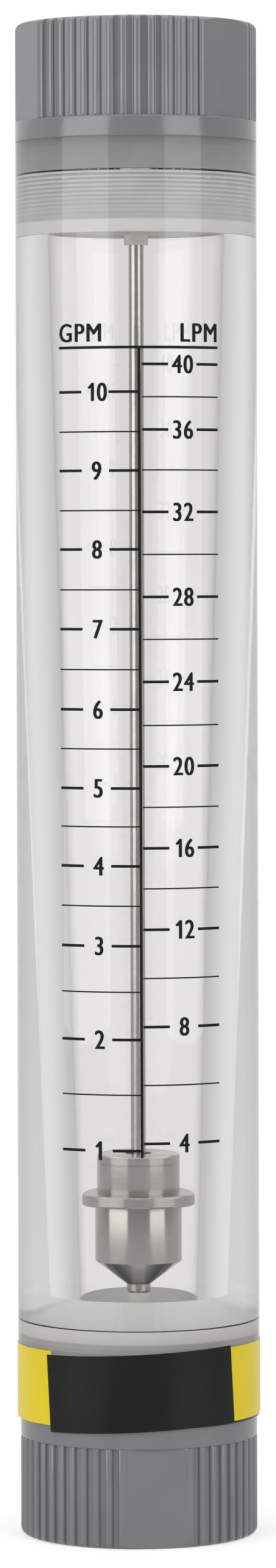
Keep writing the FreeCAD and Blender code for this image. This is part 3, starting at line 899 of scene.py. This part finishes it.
# The camera stands level before the meter, and its view is shifted down to take in the whole of it.
CAMERA_DISTANCE = 1.2
CAMERA_HEIGHT = 193.4 * MM
CAMERA_ACROSS = 0.23 * MM
CAMERA_LENS, SENSOR_WIDTH = 138.3, 36
CAMERA_SHIFT = -0.1428
CAMERA_ROLL = math.radians(0.15)
# Strengths: the light on the meter, and what the eye, a mirror and the clear wall show of backdrop and floor
AMBIENT = 0.62
BACKDROP, SOLID_BACKDROP = 1.0, 0.76
FLOOR_GLOW, SOLID_FLOOR, FLOOR_SHINE = 0.48, 0.35, 0.6
INSIDE_LIGHT = 1.3
FLOOR_SIZE, FLOOR_TONE, FLOOR_ROUGHNESS = 4.0, 0.8, 0.9
# Each soft box: where it starts and ends, in degrees from the viewer to the left, and its radiance
SOFT_BOXES = (("left_box", 26, 74, 1.7), ("right_box", -27, -64, 1.5))
BOX_REACH, BOX_LOW, BOX_HIGH = 1.0, 0.02, 0.8
WHITE = (1, 1, 1, 1)


class ROTAMETER_OT_stage(bpy.types.Operator):
    """Makes the floor, the surroundings, the two soft boxes and the camera"""

    bl_idname = "rotameter.stage"
    bl_label = "Stage"

    def execute(self, context):
        scene = context.scene
        self.make_camera(scene)
        self.make_world(scene)
        self.make_floor(scene)
        for box in SOFT_BOXES:
            self.make_box(scene, *box)
        scene.view_settings.view_transform = "Standard"
        return {"FINISHED"}

    def make_camera(self, scene):
        """The camera before the meter's face."""
        data = bpy.data.cameras.new("camera")
        data.lens = CAMERA_LENS
        data.sensor_width = SENSOR_WIDTH
        data.shift_y = CAMERA_SHIFT
        data.clip_start = 0.05
        camera = bpy.data.objects.new("camera", data)
        camera.location = (CAMERA_ACROSS, -CAMERA_DISTANCE, CAMERA_HEIGHT)
        camera.rotation_euler = (math.pi / 2, CAMERA_ROLL, 0)
        scene.collection.objects.link(camera)
        scene.camera = camera

    def make_world(self, scene):
        """Plain ambient light, white round the meter for the eye, and a dimmer viewer's side in a mirror."""
        world = bpy.data.worlds.new("surroundings")
        world.use_nodes = True
        tree = Tree(world.node_tree)
        path = tree.add("ShaderNodeLightPath").outputs
        surround = tree.shared("surround", Direction=tree.add("ShaderNodeTexCoord").outputs["Generated"])
        white = tree.mixed(tree.turned(path, "Glossy"), self.through(tree, path, SOLID_BACKDROP),
                           surround.outputs["Strength"])
        background = next(n for n in tree.nodes if n.type == "BACKGROUND")
        tree.feed(background, Color=WHITE, Strength=tree.mixed(self.seen(tree, path), AMBIENT, white))
        scene.world = world

    def seen(self, tree, path):
        """1 for a ray from the eye, a mirror or a clear wall, and 0 for one that lights a surface."""
        mirrored = tree.maths("MAXIMUM", path["Is Glossy Ray"], path["Is Transmission Ray"])
        return tree.maths("MAXIMUM", mirrored, path["Is Camera Ray"])

    def through(self, tree, path, dimmed):
        """White for the bare eye and through the tube's bore, dimmer through the thick of its wall.

        What lights a piece inside the tube comes this way as well, and makes up for the lamps, which don't.
        """
        solid = tree.maths("MULTIPLY", tree.turned(path, "Transmission"),
                           tree.maths("LESS_THAN", path["Transmission Depth"], 2.5))
        return tree.mixed(tree.turned(path, "Diffuse"), tree.mixed(solid, BACKDROP, dimmed), INSIDE_LIGHT)

    def make_floor(self, scene):
        """A plain pale floor that keeps the meter's shadow."""
        bm = bmesh.new()
        bmesh.ops.create_grid(bm, x_segments=1, y_segments=1, size=FLOOR_SIZE)
        mesh = bpy.data.meshes.new("floor")
        bm.to_mesh(mesh)
        bm.free()
        mesh.materials.append(self.pale_floor())
        floor = bpy.data.objects.new("floor", mesh)
        scene.collection.objects.link(floor)

    def pale_floor(self):
        """The floor's material: matt and faintly glowing, and as bright in a mirror as the surroundings, with
        the soft boxes' painted reflection glowing in it.
        """
        tree, shader = new_material("pale_floor")
        tree.feed(shader, Base_Color=with_alpha((FLOOR_TONE,) * 3), Roughness=FLOOR_ROUGHNESS)
        path = tree.add("ShaderNodeLightPath").outputs
        sees = self.seen(tree, path)
        shown = tree.maths("MULTIPLY", sees, self.through(tree, path, SOLID_FLOOR))
        surround = tree.shared("surround", Direction=tree.place()).outputs["Strength"]
        glow = tree.feed(tree.add("ShaderNodeEmission"), Color=WHITE,
                         Strength=tree.maths("MULTIPLY", shown, FLOOR_GLOW))
        # Painted reflection: in a mirror the floor glows by the surround group, with the soft boxes'
        # reflection in its two sectors
        mirrored = tree.feed(tree.add("ShaderNodeEmission"), Color=WHITE,
                             Strength=tree.maths("MAXIMUM", surround, FLOOR_SHINE))
        lit = tree.add("ShaderNodeAddShader")
        tree.give(lit.inputs[0], shader.outputs[0])
        tree.give(lit.inputs[1], glow.outputs[0])
        whole = tree.add("ShaderNodeMixShader")
        tree.give(whole.inputs[0], tree.maths("MULTIPLY", sees, tree.turned(path, "Glossy")))
        tree.give(whole.inputs[1], lit.outputs[0])
        tree.give(whole.inputs[2], mirrored.outputs[0])
        output = next(n for n in tree.nodes if n.type == "OUTPUT_MATERIAL")
        tree.give(output.inputs["Surface"], whole.outputs[0])
        return bpy.data.materials["pale_floor"]

    def make_box(self, scene, name, start, end, radiance):
        """A tall soft box between two directions, in degrees from the viewer to the left."""
        tall = BOX_HIGH - BOX_LOW
        middle = math.radians((start + end) / 2)
        wide = 2 * BOX_REACH * math.tan(math.radians(abs(end - start)) / 2)
        data = bpy.data.lights.new(name, "AREA")
        data.shape = "RECTANGLE"
        data.size = wide
        data.size_y = tall
        data.energy = radiance * math.pi * wide * tall
        lamp = bpy.data.objects.new(name, data)
        lamp.location = (-BOX_REACH * math.sin(middle), -BOX_REACH * math.cos(middle), BOX_LOW + tall / 2)
        lamp.rotation_euler = (math.pi / 2, 0, -middle)
        scene.collection.objects.link(lamp)


OPERATORS = (ROTAMETER_OT_finishes, ROTAMETER_OT_tube, ROTAMETER_OT_fittings, ROTAMETER_OT_inner_parts,
             ROTAMETER_OT_float, ROTAMETER_OT_print, ROTAMETER_OT_label, ROTAMETER_OT_stage)


class ROTAMETER_PT_panel(bpy.types.Panel):
    """Lists the operators in the order in which they run"""

    bl_idname = "ROTAMETER_PT_panel"
    bl_label = "Rotameter"
    bl_space_type = "VIEW_3D"
    bl_region_type = "UI"
    bl_category = "Rotameter"

    def draw(self, context):
        for operator in OPERATORS:
            self.layout.operator(operator.bl_idname)
        for settings in (context.scene.rotameter_sizes, context.scene.rotameter_finish):
            box = self.layout.box()
            for name in settings.__annotations__:
                box.prop(settings, name)


CLASSES = (RotameterSizes, RotameterFinish, *OPERATORS, ROTAMETER_PT_panel)


def register():
    for item in CLASSES:
        bpy.utils.register_class(item)
    bpy.types.Scene.rotameter_sizes = bpy.props.PointerProperty(type=RotameterSizes)
    bpy.types.Scene.rotameter_finish = bpy.props.PointerProperty(type=RotameterFinish)


def unregister():
    del bpy.types.Scene.rotameter_finish
    del bpy.types.Scene.rotameter_sizes
    for item in reversed(CLASSES):
        bpy.utils.unregister_class(item)


def main():
    register()
    for operator in OPERATORS:
        group, name = operator.bl_idname.split(".")
        getattr(getattr(bpy.ops, group), name)()


if __name__ == "__main__":
    main()
